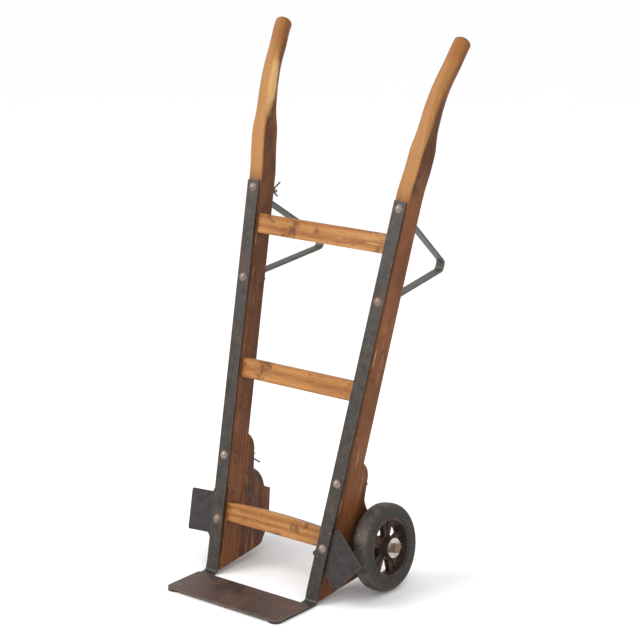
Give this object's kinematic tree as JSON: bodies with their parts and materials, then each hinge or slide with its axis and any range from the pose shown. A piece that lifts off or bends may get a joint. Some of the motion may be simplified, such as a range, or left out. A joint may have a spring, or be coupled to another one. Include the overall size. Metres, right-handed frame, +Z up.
{
  "type": "hand truck",
  "caption": "Wooden warehouse hand truck with splayed bent-handle rails, iron face straps, a toe plate, rear rest stays, swivelling guard plates and canted rubber wheels.",
  "frame": {"origin": "on the floor, at the middle of the overall box in plan: under the middle of the truck's width and of its length", "axes": "+Z up; X runs across the truck (+X is the truck's left seen from behind the handles facing the toe plate, the rail named right here is at +X); the toe plate points to -Y and the handles lean to +Y"},
  "size_m": [0.5544, 0.5964, 1.258],
  "materials": {
    "rail_wood": "old varnish, worn and scratched",
    "bar_wood": "old varnish, honey coloured, stained",
    "strap_steel": "dark mill scale, worn along the edges",
    "toe_steel": "brown patina, rubbed bright along the lip",
    "guard_steel": "dark, dull",
    "stay_steel": "dark grey, dull",
    "bolt_steel": "worn domed heads",
    "nut_steel": "dark, rusty",
    "axle_steel": "rusty brown steel",
    "washer_steel": "rubbed bright",
    "tyre_rubber": "solid rubber, dusty tread",
    "wheel_iron": "very dark brown, rough casting"
  },
  "bodies": {
    "frame": {"axle": "axle_steel", "axle_block_left": "rail_wood", "axle_block_right": "rail_wood", "block_bolts": "bolt_steel", "bolt_washers": "nut_steel", "cotter_pins": "axle_steel", "crossbar_bottom": "bar_wood", "crossbar_middle": "bar_wood", "crossbar_top": "bar_wood", "guard_bolts": "bolt_steel", "hub_washers": "washer_steel", "rail_left": "rail_wood", "rail_right": "rail_wood", "square_nuts": "nut_steel", "stay_bolts": "bolt_steel", "stay_left": "stay_steel", "stay_right": "stay_steel", "strap_left": "strap_steel", "strap_right": "strap_steel", "toe_plate": "toe_steel", "toe_rivets": "toe_steel", "wire_tie_upper": "nut_steel", "wire_tie_lower": "nut_steel"},
    "wheel_right": {"tyre_right": "tyre_rubber", "wheel_centre_right": "wheel_iron"},
    "wheel_left": {"tyre_left": "tyre_rubber", "wheel_centre_left": "wheel_iron"},
    "guard_right": {"guard_plate_right": "guard_steel"},
    "guard_left": {"guard_plate_left": "guard_steel"}
  },
  "joints": [
    {"name": "wheel_right_spin", "type": "hinge", "parent": "frame", "child": "wheel_right", "pos_m": [0.2255, 0.0191, 0.10237], "axis": [0.9925, 0, 0.1219], "continuous": true},
    {"name": "wheel_left_spin", "type": "hinge", "parent": "frame", "child": "wheel_left", "pos_m": [-0.219, 0.01464, 0.10237], "axis": [-0.9871, -0.1037, 0.1219], "continuous": true},
    {"name": "guard_right_swing", "type": "hinge", "parent": "frame", "child": "guard_right", "pos_m": [0.15685, -0.11805, 0.12272], "axis": [0, 0.9646, -0.2639], "range_deg": [-59, 12]},
    {"name": "guard_left_swing", "type": "hinge", "parent": "frame", "child": "guard_left", "pos_m": [-0.15685, -0.11805, 0.12272], "axis": [0, 0.9646, -0.2639], "range_deg": [-49, 22]}
  ]
}
